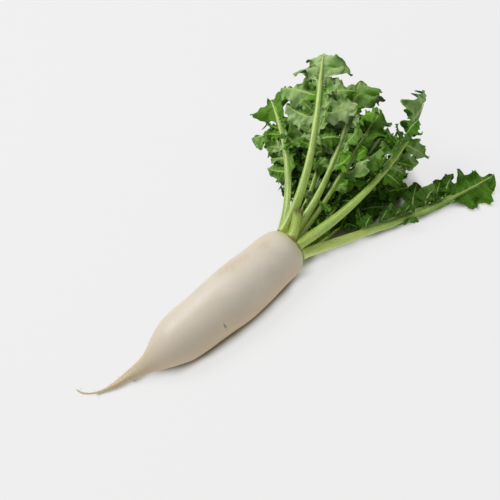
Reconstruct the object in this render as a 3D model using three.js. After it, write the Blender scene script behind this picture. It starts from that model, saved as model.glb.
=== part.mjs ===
// A daikon radish as pulled and laid on a table: one long white root, and the leaf stalks and lobed
// leaves that still grow from its crown. Millimetres, +Z up, the table is the plane z = 0.
// +X runs along the root from its tail towards the leaves. The origin is on the table, in the middle
// of the small flat spot that the root lies on.
//
// Each leaf is two bodies: its pale stalk, which runs on as the leaf's rib, and its green blade, one
// sheet that lies on the rib and is cut into leaflets, with narrow wings between them and a large
// lobe at the tip.

import * as THREE from "three";

// ---- driving dimensions ------------------------------------------------------------------------

// The root's middle line, from the plate at its crown that the stalks stand on to the tip of its
// tail.
const rootLine = [
  [106.5, 0, 33.6], [60, -0.5, 32.2], [12, -1.5, 32.3], [-34, 2.2, 29.7], [-72, 7, 27], [-98, 15.6, 18.5],
  [-124, 28.6, 9.5], [-150, 40, 4.4], [-168, 51, 2.2], [-178, 65, 1.4], [-181, 80, 1.1],
];
// Distance from the crown along that line, and the root's radius there.
const rootProfile = [
  [0, 20], [1, 21.9], [4, 25], [8, 27.6], [14, 29.8], [22, 31.2], [38, 32.2], [56, 33.2], [78, 33.9],
  [98, 34], [118, 33], [138, 31.5], [158, 30.4], [175, 28.4], [189, 24], [202, 18.6], [213, 13.7],
  [225, 9.9], [244, 6.3], [260, 3.9], [270, 2.5], [279, 1.5], [290, 1.1], [312, 1.1], [319, 0],
];
const rootSides = 24;
const rootRings = 38;
const table = 0;

const stalkSides = 8;
const stalkSteps = 12;
const stalkTip = 1.8; // the rib's width where it ends under the last lobe
const stalkDepth = 0.66; // a stalk's thickness as a share of its width
const stalkHollow = 0.1; // how far its upper side is hollowed, as a share of its width
const stalkWaist = 0.9; // its width at the foot as a share of that just above
const seatGap = 0.4; // between a stalk's foot and the crown's plate
const ribEnd = 0.55; // how far the rib runs out under the last lobe

const bladeThickness = 0.8;
const ribGap = 0.7; // between a rib and the blade that lies on it
const wingWidth = 2.4; // how far the blade stands out beside the rib between leaflets
const wingStart = 0.6; // half the width that the blade starts with
const wingRun = 0.04; // the share of a leaf's length over which it reaches its width
const leafletGrip = 0.22; // half a leaflet's foot, as a share of the distance between pairs
const lobeRest = 0.6; // how high the middle of a lobe's thickness lies on the table
const leafletRows = 6;
const lobeRows = 9;

const leafGap = 5; // kept between the leaflets of different leaves
const leafletGap = 3.6; // kept between those of the same leaf
const stalkGap = 3.5; // kept between a leaflet and another leaf's stalk
const ribClear = 2.7; // and its own rib
const tableGap = 1.2;
const crownGap = 12;

// Each leaf: where its stalk stands on the crown (mm to the left and up from the crown's middle),
// its heading as degrees to the left, its climb as degrees above level, and its roll as degrees
// that its face leans to the left, each at the foot, half way and at the tip; its length; where
// its blade and its last lobe begin, as shares of that length; its stalk's width; how many pairs
// of leaflets it has; how long the largest of them are, and half their width; half the width of
// its last lobe; the side that has lost its leaflets, if one has; and the seed of its small
// irregularities.
const leaves = [
  { seat: [-13.1, -6.1], heading: [-12, -29, -12], climb: [-17, 0, 3], roll: [65, 120, 165],
    length: 258, blade: 0.29, lobe: 0.76, width: 13.4, pairs: 4, leaflet: [46, 16], lobeHalf: 26,
    bareSide: 1, seed: 59 },
  { seat: [-12.9, 6.6], heading: [-20, -3, 26], climb: [6, 15, 12], roll: [117, 100, 60],
    length: 257, blade: 0.5, lobe: 0.76, width: 13.4, pairs: 3, leaflet: [48, 16], lobeHalf: 27,
    seed: 23 },
  { seat: [-4.2, 13.9], heading: [-4, 19, 36], climb: [16, 21, -10], roll: [163, 180, 190],
    length: 248, blade: 0.36, lobe: 0.72, width: 10.5, pairs: 3, leaflet: [48, 16], lobeHalf: 29,
    seed: 37 },
  { seat: [7, 12.7], heading: [2, 29, 42], climb: [26, 29, -10], roll: [209, 190, 170],
    length: 270, blade: 0.4, lobe: 0.74, width: 13.4, pairs: 3, leaflet: [50, 17], lobeHalf: 31,
    seed: 41 },
  { seat: [14.3, 2.3], heading: [22, 50, 60], climb: [14, 20, -20], roll: [261, 225, 200],
    length: 247, blade: 0.34, lobe: 0.72, width: 13, pairs: 3, leaflet: [48, 17], lobeHalf: 30,
    seed: 53 },
  { seat: [10.6, -9.9], heading: [18, 42, 56], climb: [-14, -3, 1], roll: [-47, -20, 0],
    length: 237, blade: 0.26, lobe: 0.72, width: 13, pairs: 4, leaflet: [46, 15], lobeHalf: 28,
    seed: 67 },
  { seat: [-1.5, -14.4], heading: [-4, 3, 8], climb: [-11, -1.5, 1], roll: [4, 10, 10],
    length: 212, blade: 0.3, lobe: 0.72, width: 12, pairs: 3, leaflet: [44, 15], lobeHalf: 27,
    seed: 79 },
  { seat: [0.5, -0.5], heading: [10, 34, 42], climb: [8, 14, -6], roll: [-80, -30, 10],
    length: 247, blade: 0.3, lobe: 0.72, width: 8, pairs: 3, leaflet: [46, 16], lobeHalf: 29,
    seed: 84 },
  { seat: [-7, -3.4], heading: [-2, 11, 17], climb: [2, 9, -4], roll: [65, 20, 0],
    length: 222, blade: 0.3, lobe: 0.7, width: 8, pairs: 3, leaflet: [44, 15], lobeHalf: 27,
    seed: 97 },
  { seat: [-4.8, 6], heading: [-6, 5, 16], climb: [12, 22, 0], roll: [143, 170, 180],
    length: 202, blade: 0.38, lobe: 0.68, width: 8, pairs: 3, leaflet: [42, 15], lobeHalf: 27,
    seed: 101 },
  { seat: [3.4, -7.3], heading: [8, 24, 30], climb: [-4, 3, 2], roll: [-25, 10, 20],
    length: 197, blade: 0.26, lobe: 0.7, width: 8, pairs: 3, leaflet: [40, 15], lobeHalf: 26,
    seed: 113 },
  { seat: [8, -1.5], heading: [18, 48, 52], climb: [2, 7, 0], roll: [-80, -30, -10],
    length: 222, blade: 0.3, lobe: 0.7, width: 8, pairs: 3, leaflet: [42, 15], lobeHalf: 27,
    seed: 127 },
  { seat: [3.8, 6.8], heading: [6, 26, 34], climb: [10, 20, 0], roll: [208, 190, 180],
    length: 205, blade: 0.36, lobe: 0.7, width: 8, pairs: 3, leaflet: [42, 15], lobeHalf: 27,
    seed: 131 },
];

// Ways for a leaflet to hang, in the order they are tried: how far it sags, how far it lifts off
// its rib's plane and how many degrees it twists.
const hangs = [
  { sag: 0.9, lift: 0.1, twist: 0 }, { sag: 0.4, lift: 0.25, twist: 20 },
  { sag: 1.5, lift: 0.2, twist: -15 }, { sag: 0, lift: 0.3, twist: -25 },
  { sag: -0.6, lift: 0.2, twist: 10 }, { sag: 0.7, lift: -0.4, twist: 35 },
  { sag: -1.2, lift: 0.4, twist: 30 }, { sag: 2, lift: 0.5, twist: 0 },
  { sag: -0.3, lift: -0.7, twist: -30 }, { sag: 0.6, lift: 0.8, twist: 45 },
];
const sizes = [1, 0.8, 0.62, 0.45];

// ---- small helpers -----------------------------------------------------------------------------

const up = new THREE.Vector3(0, 0, 1);
const down = new THREE.Vector3(0, 0, -1);
const middleLine = new THREE.CatmullRomCurve3(
  rootLine.map((p) => new THREE.Vector3(...p)), false, "centripetal",
);
const crown = middleLine.getPoint(0);
const crownAway = middleLine.getTangent(0).negate();
const radians = THREE.MathUtils.degToRad;
const mix = THREE.MathUtils.lerp;
const turns = (x) => 2 * Math.PI * x;

// A value that passes through a at 0, b at a half and c at 1.
function glide([a, b, c], t) {
  return a * (1 - t) * (1 - 2 * t) + 4 * b * t * (1 - t) + c * t * (2 * t - 1);
}

// Repeatable draws between -1 and 1.
function draws(seed) {
  let state = seed * 7919;
  return () => {
    state = (state * 16807) % 2147483647;
    return (2 * state) / 2147483647 - 1;
  };
}

// Moves every vertex of a geometry to where the function puts it.
function reshape(geometry, move) {
  const place = geometry.attributes.position;
  for (let i = 0; i < place.count; i++) {
    const p = move(new THREE.Vector3().fromBufferAttribute(place, i));
    place.setXYZ(i, p.x, p.y, p.z);
  }
  return geometry;
}

// ---- the root ----------------------------------------------------------------------------------

// The profile turned about its axis, bent along the root's middle line and pressed flat where it
// meets the table.
function rootGeometry() {
  const length = middleLine.getLength();
  const profile = new THREE.SplineCurve(rootProfile.map(([away, radius]) => new THREE.Vector2(radius, away)));
  const outline = [new THREE.Vector2(0, 0), ...profile.getPoints(rootRings)];
  return reshape(new THREE.LatheGeometry(outline, rootSides), (ring) => {
    const t = Math.min(ring.y / length, 1);
    const tangent = middleLine.getTangentAt(t);
    const side = new THREE.Vector3().crossVectors(tangent, up).normalize();
    const over = new THREE.Vector3().crossVectors(side, tangent);
    const p = middleLine.getPointAt(t).addScaledVector(side, ring.x).addScaledVector(over, ring.z);
    p.z = Math.max(p.z, table);
    return p;
  });
}

// ---- a leaf's rib and stalk --------------------------------------------------------------------

// A rib is followed from its seat by its heading and climb. At any share t of its length it gives
// its place, the way ahead, the way its face looks and the way to its left.
function ribOf(leaf) {
  const steps = 60;
  const ahead = (t) => {
    const heading = radians(glide(leaf.heading, t));
    const climb = radians(glide(leaf.climb, t));
    const level = Math.cos(climb);
    return new THREE.Vector3(Math.cos(heading) * level, Math.sin(heading) * level, Math.sin(climb));
  };
  const points = [crown.clone().add(new THREE.Vector3(0, ...leaf.seat))];
  for (let i = 0; i < steps; i++) {
    points.push(points[i].clone().addScaledVector(ahead((i + 0.5) / steps), leaf.length / steps));
  }
  const point = (t) => {
    const place = t * steps;
    const i = Math.min(Math.floor(place), steps - 1);
    return points[i].clone().lerp(points[i + 1], place - i);
  };
  const frame = (t) => {
    const forward = ahead(t);
    const left = new THREE.Vector3().crossVectors(up, forward).normalize();
    const over = new THREE.Vector3().crossVectors(forward, left);
    const roll = radians(glide(leaf.roll, t));
    return {
      ahead: forward,
      face: over.clone().multiplyScalar(Math.cos(roll)).addScaledVector(left, Math.sin(roll)),
      side: left.clone().multiplyScalar(Math.cos(roll)).addScaledVector(over, -Math.sin(roll)),
    };
  };
  return { point, frame };
}

function stalkWidth(leaf, t) {
  const waist = mix(stalkWaist, 1, Math.min(1, 12 * t));
  return waist * mix(stalkTip, leaf.width, Math.pow(1 - t, 0.6));
}

// A cylinder bent along the rib. Its side towards the blade is hollowed a little, and its other
// side stays round, with the middle of each end sunk to lie inside that section. Its foot is cut
// off level with the crown's plate, to stand on it.
function stalkGeometry({ leaf, rib }) {
  const cylinder = new THREE.CylinderGeometry(1, 1, 1, stalkSides, stalkSteps);
  return reshape(cylinder, (ring) => {
    const share = ring.y + 0.5;
    const t = share * mix(leaf.lobe, 1, ribEnd);
    const { ahead, face, side } = rib.frame(t);
    const width = stalkWidth(leaf, t);
    const high = ring.z * width * (ring.z < 0 ? stalkDepth : -stalkHollow);
    const sunk = (1 - Math.hypot(ring.x, ring.z)) * stalkDepth * width * 0.5;
    const p = rib.point(t).addScaledVector(side, -ring.x * width * 0.5).addScaledVector(face, high - sunk);
    if (share > 0) return p;
    const away = crownAway.dot(p.clone().sub(crown));
    return p.addScaledVector(ahead, (seatGap - away) / crownAway.dot(ahead));
  });
}

// ---- a leaf's blade ----------------------------------------------------------------------------

// A sheet that grows row by row, each row running from right to left, and is then thickened.
class Sheet {
  points = [];
  triangles = [];

  row(points) {
    return points.map((p) => this.points.push(p) - 1);
  }

  // Fills the strip between two rows, which may have different counts.
  join(near, far) {
    let i = 0;
    let j = 0;
    while (i < near.length - 1 || j < far.length - 1) {
      if ((i + 1) / (near.length - 1) <= (j + 1) / (far.length - 1)) {
        this.triangles.push([near[i], near[i + 1], far[j]]);
        i++;
      } else {
        this.triangles.push([near[i], far[j + 1], far[j]]);
        j++;
      }
    }
  }

  grow(row, points) {
    const next = this.row(points);
    this.join(row, next);
    return next;
  }

  thickened(thickness) {
    const normals = this.points.map(() => new THREE.Vector3());
    const edges = new Map();
    for (const [a, b, c] of this.triangles) {
      const ab = this.points[b].clone().sub(this.points[a]);
      const ac = this.points[c].clone().sub(this.points[a]);
      const normal = ab.cross(ac).normalize();
      for (const i of [a, b, c]) normals[i].add(normal);
      for (const [i, j] of [[a, b], [b, c], [c, a]]) edges.set(`${i},${j}`, [i, j]);
    }
    for (const normal of normals) normal.setLength(thickness / 2);
    const above = this.points.map((p, i) => p.clone().add(normals[i]));
    const below = this.points.map((p, i) => p.clone().sub(normals[i]));
    const count = this.points.length;
    const faces = this.triangles.flatMap(([a, b, c]) => [a, b, c, count + a, count + c, count + b]);
    for (const [i, j] of edges.values()) {
      if (!edges.has(`${j},${i}`)) faces.push(j, i, count + i, j, count + i, count + j);
    }
    return new THREE.BufferGeometry().setFromPoints([...above, ...below]).setIndex(faces);
  }
}

// Half the width of a lobed outline: a narrow neck, a broad middle with rounded teeth, and a blunt
// tip.
function lobedHalf(u, half, teeth, phase, deep) {
  const body = Math.pow(Math.sin(Math.PI * (0.06 + 0.88 * Math.pow(u, 0.8))), 0.75);
  return half * body * (1 + deep * Math.cos(turns(teeth * u) + phase));
}

function wingHalf(leaf, t) {
  const begun = Math.min(1, (t - leaf.blade) / wingRun);
  return mix(wingStart, stalkWidth(leaf, t) / 2 + wingWidth, begun);
}

// A point of the sheet that lies on the rib, v millimetres to the left of the rib's middle.
function ribPoint(rib, t, v) {
  const { face, side } = rib.frame(t);
  return rib.point(t).addScaledVector(face, ribGap + bladeThickness / 2).addScaledVector(side, v);
}

// A leaflet grows out from the wing, sweeps forward, sags, folds along its middle and ripples.
// u runs from its foot to its tip, and v from its back edge, -1, to its front edge, 1.
function leafletSurface(leaf, rib, spec, hang) {
  const { ahead, face: ribFace, side } = rib.frame(spec.t);
  const start = side.clone().multiplyScalar(spec.side * Math.sin(spec.spread))
    .addScaledVector(ahead, Math.cos(spec.spread))
    .addScaledVector(ribFace, hang.lift)
    .normalize();
  const turn = ahead.clone().multiplyScalar(spec.sweep).addScaledVector(down, hang.sag);
  const reach = (spec.length * hang.size) / Math.sqrt(1 + 0.3 * turn.lengthSq());
  const foot = ribPoint(rib, spec.t, spec.side * wingHalf(leaf, spec.t));
  return (u, v) => {
    const forward = start.clone().addScaledVector(turn, u).normalize();
    const across = ahead.clone().addScaledVector(forward, -ahead.dot(forward)).normalize();
    const face = new THREE.Vector3().crossVectors(across, forward).multiplyScalar(spec.side);
    const twist = radians(hang.twist) * u;
    const edge = across.clone().multiplyScalar(Math.cos(twist)).addScaledVector(face, Math.sin(twist));
    const normal = face.multiplyScalar(Math.cos(twist)).addScaledVector(across, -Math.sin(twist));
    const half = lobedHalf(u, spec.half * hang.size, 3, v > 0 ? spec.phase : spec.phase + 2.2, 0.16);
    const ripple = spec.ripple * Math.abs(v) * Math.sin(turns(1.6 * u) + 3 * spec.phase + v);
    return foot.clone()
      .addScaledVector(start, reach * u)
      .addScaledVector(turn, (reach * u * u) / 2)
      .addScaledVector(edge, v * half)
      .addScaledVector(normal, half * (spec.cup * v * v + ripple));
  };
}

// The last lobe follows the rib, is cupped along it, and is pressed flat where it meets the table.
function lobeSurface(leaf, rib, spec) {
  const neck = wingHalf(leaf, leaf.lobe);
  return (u, v) => {
    const t = mix(leaf.lobe, 1, u);
    const open = Math.min(1, 3 * u);
    const broad = lobedHalf(u, leaf.lobeHalf, 3.2, v > 0 ? spec.phase : spec.phase + 2, 0.22);
    const half = mix(neck, broad, open);
    const ripple = 0.16 * Math.abs(v) * Math.sin(turns(1.7 * u) + spec.phase + 2 * v);
    const raised = open * half * (spec.cup * v * v + ripple);
    const p = ribPoint(rib, t, v * half).addScaledVector(rib.frame(t).face, raised);
    p.z = Math.max(p.z, table + lobeRest);
    return p;
  };
}

// Where a pair of leaflets stands on the rib, and half the length of rib that each one's foot
// takes up.
function pairPlace(leaf, pair) {
  const step = (leaf.lobe - leaf.blade) / leaf.pairs;
  return { t: leaf.blade + step * (pair + 0.5), grip: leafletGrip * step };
}

function bladeGeometry({ leaf, rib, lobe, leaflets }) {
  const sheet = new Sheet();
  const station = (t) => [-1, 0, 1].map((v) => ribPoint(rib, t, v * wingHalf(leaf, t)));
  let row = sheet.row(station(leaf.blade));
  for (let pair = 0; pair < leaf.pairs; pair++) {
    const { t, grip } = pairPlace(leaf, pair);
    const back = sheet.grow(row, station(t - grip));
    const middle = sheet.grow(back, station(t));
    const front = sheet.grow(middle, station(t + grip));
    for (const { spec, surface } of leaflets.filter((leaflet) => leaflet.spec.pair === pair)) {
      const isLeft = spec.side > 0;
      let reach = isLeft ? [front[2], middle[2], back[2]] : [back[0], middle[0], front[0]];
      for (let i = 1; i <= leafletRows; i++) {
        reach = sheet.grow(reach, (isLeft ? [1, 0, -1] : [-1, 0, 1]).map((v) => surface(i / leafletRows, v)));
      }
    }
    row = front;
  }
  row = sheet.grow(row, station(leaf.lobe));
  for (let i = 1; i <= lobeRows; i++) {
    row = sheet.grow(row, [-1, -0.5, 0, 0.5, 1].map((v) => lobe(i / lobeRows, v)));
  }
  return sheet.thickened(bladeThickness);
}

// ---- laying the leaflets clear of each other ---------------------------------------------------

function samplesOf(surface, rows, columns) {
  const points = [];
  for (let i = 1; i <= rows; i++) {
    for (let j = 0; j < columns; j++) points.push(surface(i / rows, (2 * j) / (columns - 1) - 1));
  }
  return points;
}

function isClear(points, owner, laid, stalks) {
  return points.every((p) => {
    if (p.z < table + tableGap || p.x < crown.x + crownGap) return false;
    const touchesStalk = stalks.some(
      (s) => p.distanceTo(s.point) < s.radius + (s.owner === owner ? ribClear : stalkGap),
    );
    const touchesLeaf = laid.some(
      (q) => p.distanceTo(q.point) < (q.owner === owner ? leafletGap : leafGap),
    );
    return !touchesStalk && !touchesLeaf;
  });
}

// The last lobes are laid first, then the leaflets from the largest to the smallest. Each one takes
// the first size and hang that keep it clear of the table, the crown and what is already laid, and
// one that finds none has been torn off.
function layLeaves() {
  const laid = [];
  const stalks = [];
  const grown = leaves.map((leaf, owner) => {
    const rib = ribOf(leaf);
    const draw = draws(leaf.seed);
    const lobe = lobeSurface(leaf, rib, { phase: 3 * draw(), cup: 0.25 + 0.15 * draw() });
    for (const point of samplesOf(lobe, 16, 13)) laid.push({ point, owner });
    for (let t = 0; t <= 1; t += 1 / 40) {
      stalks.push({ point: rib.point(t), radius: stalkWidth(leaf, t) / 2, owner });
    }
    const specs = [];
    for (let pair = 0; pair < leaf.pairs; pair++) {
      for (const side of [1, -1]) {
        const size = (0.4 + (0.6 * (pair + 1)) / leaf.pairs) * (1 + 0.12 * draw());
        specs.push({
          owner, pair, side, size,
          t: pairPlace(leaf, pair).t,
          spread: radians(76 - (18 * pair) / leaf.pairs + 6 * draw()),
          length: leaf.leaflet[0] * size,
          half: leaf.leaflet[1] * (0.3 + 0.7 * size),
          sweep: 0.25 + 0.2 * draw(),
          phase: 3 * draw(),
          cup: 0.22 + 0.2 * draw(),
          ripple: 0.22 + 0.1 * draw(),
        });
      }
    }
    return { leaf, rib, lobe, leaflets: [], specs: specs.filter(({ side }) => side !== leaf.bareSide) };
  });
  const ways = sizes.flatMap((size) => hangs.map((hang) => ({ ...hang, size })));
  const queue = grown.flatMap(({ specs }) => specs).sort((a, b) => b.size - a.size);
  for (const spec of queue) {
    const { leaf, rib, leaflets } = grown[spec.owner];
    for (const way of ways) {
      const surface = leafletSurface(leaf, rib, spec, way);
      const points = samplesOf(surface, 12, 7);
      if (isClear(points, spec.owner, laid, stalks)) {
        for (const point of points) laid.push({ point, owner: spec.owner });
        leaflets.push({ spec, surface });
        break;
      }
    }
  }
  return grown;
}

// ---- the assembly ------------------------------------------------------------------------------

function material(name, color, roughness) {
  return new THREE.MeshStandardMaterial({ name, color, roughness, metalness: 0 });
}

const rootSkin = material("root_skin", 0xe9e2d3, 0.45);
const stalkSkin = material("stalk_skin", 0xa3bd6c, 0.5);
const bladeSkin = material("blade_skin", 0x4f8226, 0.6);

function named(name, geometry, skin) {
  const mesh = new THREE.Mesh(geometry, skin);
  mesh.name = name;
  return mesh;
}

const radish = new THREE.Group();
radish.add(named("root", rootGeometry(), rootSkin));
layLeaves().forEach((grown, i) => {
  radish.add(named(`leaf_${i + 1}_stalk`, stalkGeometry(grown), stalkSkin));
  radish.add(named(`leaf_${i + 1}_blade`, bladeGeometry(grown), bladeSkin));
});

export default radish;
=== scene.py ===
# A daikon radish as pulled from the ground and laid on a pale table: a long white root with a thin
# curved tail, and the lobed leaves on pale stalks that still grow from its crown.
# Every leaf follows the same rib as its solid, on a finer grid, with teeth, veins and crinkles added.
# Lengths are in millimetres, and become metres when a mesh is made.

import math
import bpy
import numpy as np
from mathutils import Matrix, Vector
from mathutils.bvhtree import BVHTree
from mathutils.kdtree import KDTree


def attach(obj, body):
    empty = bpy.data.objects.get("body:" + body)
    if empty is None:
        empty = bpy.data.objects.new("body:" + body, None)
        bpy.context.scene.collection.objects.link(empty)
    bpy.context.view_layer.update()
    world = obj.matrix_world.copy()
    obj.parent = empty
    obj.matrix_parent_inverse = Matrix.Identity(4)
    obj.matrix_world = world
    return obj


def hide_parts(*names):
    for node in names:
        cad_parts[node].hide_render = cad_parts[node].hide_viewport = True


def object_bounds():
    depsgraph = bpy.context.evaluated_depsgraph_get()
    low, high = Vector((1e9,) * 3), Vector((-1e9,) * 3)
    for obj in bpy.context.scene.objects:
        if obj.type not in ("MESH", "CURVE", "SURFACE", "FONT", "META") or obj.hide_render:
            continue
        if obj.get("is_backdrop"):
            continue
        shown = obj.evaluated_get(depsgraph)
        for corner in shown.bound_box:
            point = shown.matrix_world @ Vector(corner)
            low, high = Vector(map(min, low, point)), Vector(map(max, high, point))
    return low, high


mm = 0.001
full = 2 * math.pi

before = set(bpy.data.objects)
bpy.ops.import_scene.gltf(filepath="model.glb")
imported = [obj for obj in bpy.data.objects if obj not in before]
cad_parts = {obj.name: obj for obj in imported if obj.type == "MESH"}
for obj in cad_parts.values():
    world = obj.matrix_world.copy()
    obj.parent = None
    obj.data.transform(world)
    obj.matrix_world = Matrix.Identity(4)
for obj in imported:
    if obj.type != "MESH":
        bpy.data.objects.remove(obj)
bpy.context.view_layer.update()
print("frame loaded")


# small helpers

def unit(v):
    return v / np.linalg.norm(v, axis=-1, keepdims=True)


def dot(a, b):
    return np.sum(a * b, axis=-1, keepdims=True)


def mix(a, b, t):
    return a + (b - a) * t


def smooth(low, high, x):
    t = np.clip((x - low) / (high - low), 0, 1)
    return t * t * (3 - 2 * t)


# a value that passes through a at 0, b at a half and c at 1
def glide(abc, t):
    a, b, c = abc
    return a * (1 - t) * (1 - 2 * t) + 4 * b * t * (1 - t) + c * t * (2 * t - 1)


# the place on a line of points at a tick between theirs
def pointAt(tick, ticks, points):
    return np.stack([np.interp(tick, ticks, points[:, k]) for k in range(3)], axis=-1)


def addObject(name, data):
    thing = bpy.data.objects.new(name, data)
    bpy.context.scene.collection.objects.link(thing)
    return thing


# repeatable draws between -1 and 1
class Draws:
    def __init__(self, seed):
        self.state = seed * 7919

    def next(self):
        self.state = self.state * 16807 % 2147483647
        return 2 * self.state / 2147483647 - 1


# soft lumps over the plane: a sum of waves in drawn directions
def lumps(x, y, seed, count=7):
    draws = Draws(seed)
    total = 0
    for i in range(count):
        turn = math.pi * draws.next()
        pitch = 1 + 0.6 * draws.next()
        level = x * math.cos(turn) + y * math.sin(turn)
        total = total + np.sin(full * pitch * level + 3 * draws.next())
    return total / count


# a smooth curve through points, evenly filled; power 0.5 keeps it tight at uneven spacing
def curveThrough(points, power, perSpan=30):
    points = np.array(points, float)
    ends = [2 * points[0] - points[1], 2 * points[-1] - points[-2]]
    points = np.vstack([ends[0], points, ends[1]])
    filled = []
    for i in range(1, len(points) - 2):
        p0, p1, p2, p3 = points[i - 1:i + 3]
        d0, d1, d2 = [np.linalg.norm(b - a) ** power for a, b in ((p0, p1), (p1, p2), (p2, p3))]
        m1 = ((p1 - p0) / d0 - (p2 - p0) / (d0 + d1) + (p2 - p1) / d1) * d1
        m2 = ((p2 - p1) / d1 - (p3 - p1) / (d1 + d2) + (p3 - p2) / d2) * d1
        t = np.linspace(0, 1, perSpan, endpoint=False)[:, None]
        filled.append((2 * t**3 - 3 * t**2 + 1) * p1 + (t**3 - 2 * t**2 + t) * m1
                      + (3 * t**2 - 2 * t**3) * p2 + (t**3 - t**2) * m2)
    return np.vstack(filled + [points[-2]])


# faces of a grid of rows by columns whose points start at first
def gridFaces(rows, columns, first=0):
    i, j = np.meshgrid(np.arange(rows - 1), np.arange(columns - 1), indexing="ij")
    a = first + (i * columns + j).ravel()
    return np.stack([a, a + 1, a + columns + 1, a + columns], axis=1)


# faces round a tube of rings with one point at each end: start point, rings, end point
def tubeFaces(rings, sides):
    row, column = np.divmod(gridFaces(rings, sides + 1), sides + 1)
    faces = (1 + row * sides + column % sides).tolist()
    last = 1 + rings * sides
    for k in range(sides):
        after = (k + 1) % sides
        faces.append([0, 1 + after, 1 + k])
        faces.append([last, last - sides + k, last - sides + after])
    return faces


# one object from shells, each with points, faces and a value for every point by name
def makePiece(name, shells, material):
    points = np.vstack([shell["points"] for shell in shells])
    faces = []
    first = 0
    for shell in shells:
        faces += [[first + k for k in face] for face in shell["faces"]]
        first += len(shell["points"])
    mesh = bpy.data.meshes.new(name)
    mesh.from_pydata((points * mm).tolist(), [], faces)
    for key in shells[0]["values"]:
        values = np.vstack([shell["values"][key] for shell in shells])
        layer = mesh.attributes.new(key, "FLOAT_VECTOR", "POINT")
        layer.data.foreach_set("vector", values.ravel())
    mesh.shade_smooth()
    mesh.materials.append(material)
    return addObject(name, mesh)


# material building

class Skin:
    def __init__(self, name, colors):
        self.colors = colors
        self.material = bpy.data.materials.new(name)
        self.material.use_nodes = True
        self.tree = self.material.node_tree
        self.shader = self.tree.nodes["Principled BSDF"]

    def node(self, kind, inputs=None, **settings):
        node = self.tree.nodes.new(kind)
        for key, value in settings.items():
            setattr(node, key, value)
        for key, value in (inputs or {}).items():
            self.put(node.inputs[key], value)
        return node

    def put(self, socket, value):
        if isinstance(value, bpy.types.NodeSocket):
            self.tree.links.new(value, socket)
        else:
            socket.default_value = value

    def value(self, name):
        return self.node("ShaderNodeAttribute", attribute_name=name).outputs["Vector"]

    def split(self, vector):
        return list(self.node("ShaderNodeSeparateXYZ", {0: vector}).outputs)

    def math(self, operation, a, b=0.0, c=0.0):
        return self.node("ShaderNodeMath", {0: a, 1: b, 2: c}, operation=operation).outputs[0]

    def times(self, a, b):
        return self.math("MULTIPLY", a, b)

    # a times b, plus c
    def timesPlus(self, a, b, c):
        return self.math("MULTIPLY_ADD", a, b, c)

    def scaled(self, vector, scale):
        return self.node("ShaderNodeVectorMath", {0: vector, 1: scale}, operation="MULTIPLY").outputs[0]

    # 0 below low and 1 above high, eased
    def between(self, value, low, high):
        node = self.node("ShaderNodeMapRange", {"Value": value, "From Min": low, "From Max": high},
                         interpolation_type="SMOOTHSTEP")
        return node.outputs["Result"]

    def noise(self, vector, scale, detail=3.0, roughness=0.5):
        node = self.node("ShaderNodeTexNoise", {"Vector": vector, "Scale": scale, "Detail": detail,
                                                "Roughness": roughness})
        return node.outputs["Fac"]

    # from a to b, each a socket or the name of one of the skin's colours
    def blend(self, share, a, b):
        node = self.node("ShaderNodeMix", {"Factor": share}, data_type="RGBA")
        for socket, color in (node.inputs[6], a), (node.inputs[7], b):
            self.put(socket, (*self.colors[color], 1) if isinstance(color, str) else color)
        return node.outputs[2]

    # lays a named colour over the colour so far, as far as a mask and its strength say
    def lay(self, name, mask, strength):
        self.color = self.blend(self.times(mask, strength), self.color, name)

    # 1 at a spot and 0 past its size, with a torn edge
    def spotMask(self, vector, centre, stretch, torn, size):
        offset = self.node("ShaderNodeVectorMath", {0: vector, 1: centre}, operation="SUBTRACT").outputs[0]
        far = self.node("ShaderNodeVectorMath", {0: self.scaled(offset, stretch)}, operation="LENGTH")
        ragged = self.timesPlus(self.noise(vector, 700.0, 2.0), torn, far.outputs["Value"])
        return self.between(ragged, size + torn * 0.5, size * 0.3 + torn * 0.5)

    def bump(self, height, distance, strength=1.0, under=None):
        node = self.node("ShaderNodeBump", {"Height": height, "Distance": distance, "Strength": strength})
        if under is not None:
            self.put(node.inputs["Normal"], under)
        return node.outputs["Normal"]

    def finish(self, roughness, normal, scatter, depth, tint):
        self.put(self.shader.inputs["Base Color"], self.color)
        self.put(self.shader.inputs["Roughness"], roughness)
        self.put(self.shader.inputs["Normal"], normal)
        self.shader.inputs["Subsurface Weight"].default_value = scatter
        self.shader.inputs["Subsurface Scale"].default_value = depth
        self.shader.inputs["Subsurface Radius"].default_value = tint
        return self.material


# the root

root = {
    "line": [(106.5, 0, 33.6), (60, -0.5, 32.2), (12, -1.5, 32.3), (-34, 2.2, 29.7), (-72, 7, 27),
             (-98, 15.6, 18.5), (-124, 28.6, 9.5), (-150, 40, 4.4), (-168, 51, 2.2), (-178, 65, 1.4),
             (-181, 80, 1.1)],
    "profile": [(0, 20), (1, 21.9), (4, 25), (8, 27.6), (14, 29.8), (22, 31.2), (38, 32.2), (56, 33.2),
                (78, 33.9), (98, 34), (118, 33), (138, 31.5), (158, 30.4), (175, 28.4), (189, 24),
                (202, 18.6), (213, 13.7), (225, 9.9), (244, 6.3), (260, 3.9), (270, 2.5), (279, 1.5),
                (290, 1.1), (312, 1.1), (319, 0)],
    "sides": 132,
    "step": 1.2,
    "unevenness": 0.84,
    "tailRings": 0.12,
    "pits": 46,
    "pitDepth": 0.3,
    "pitWidth": (0.9, 2.6),
    "nick": {"along": 128, "angle": 176, "size": 4.4, "depth": 1.3, "width": 1.3},
    "marks": [{"along": 33, "angle": 96, "size": 5}, {"along": 64, "angle": 84, "size": 7},
              {"along": 87, "angle": 80, "size": 8}, {"along": 209, "angle": 56, "size": 4},
              {"along": 150, "angle": 40, "size": 6}, {"along": 48, "angle": 20, "size": 8}],
    "moundHeight": 3.0,
    "moundRoughness": 0.5,
}

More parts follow.
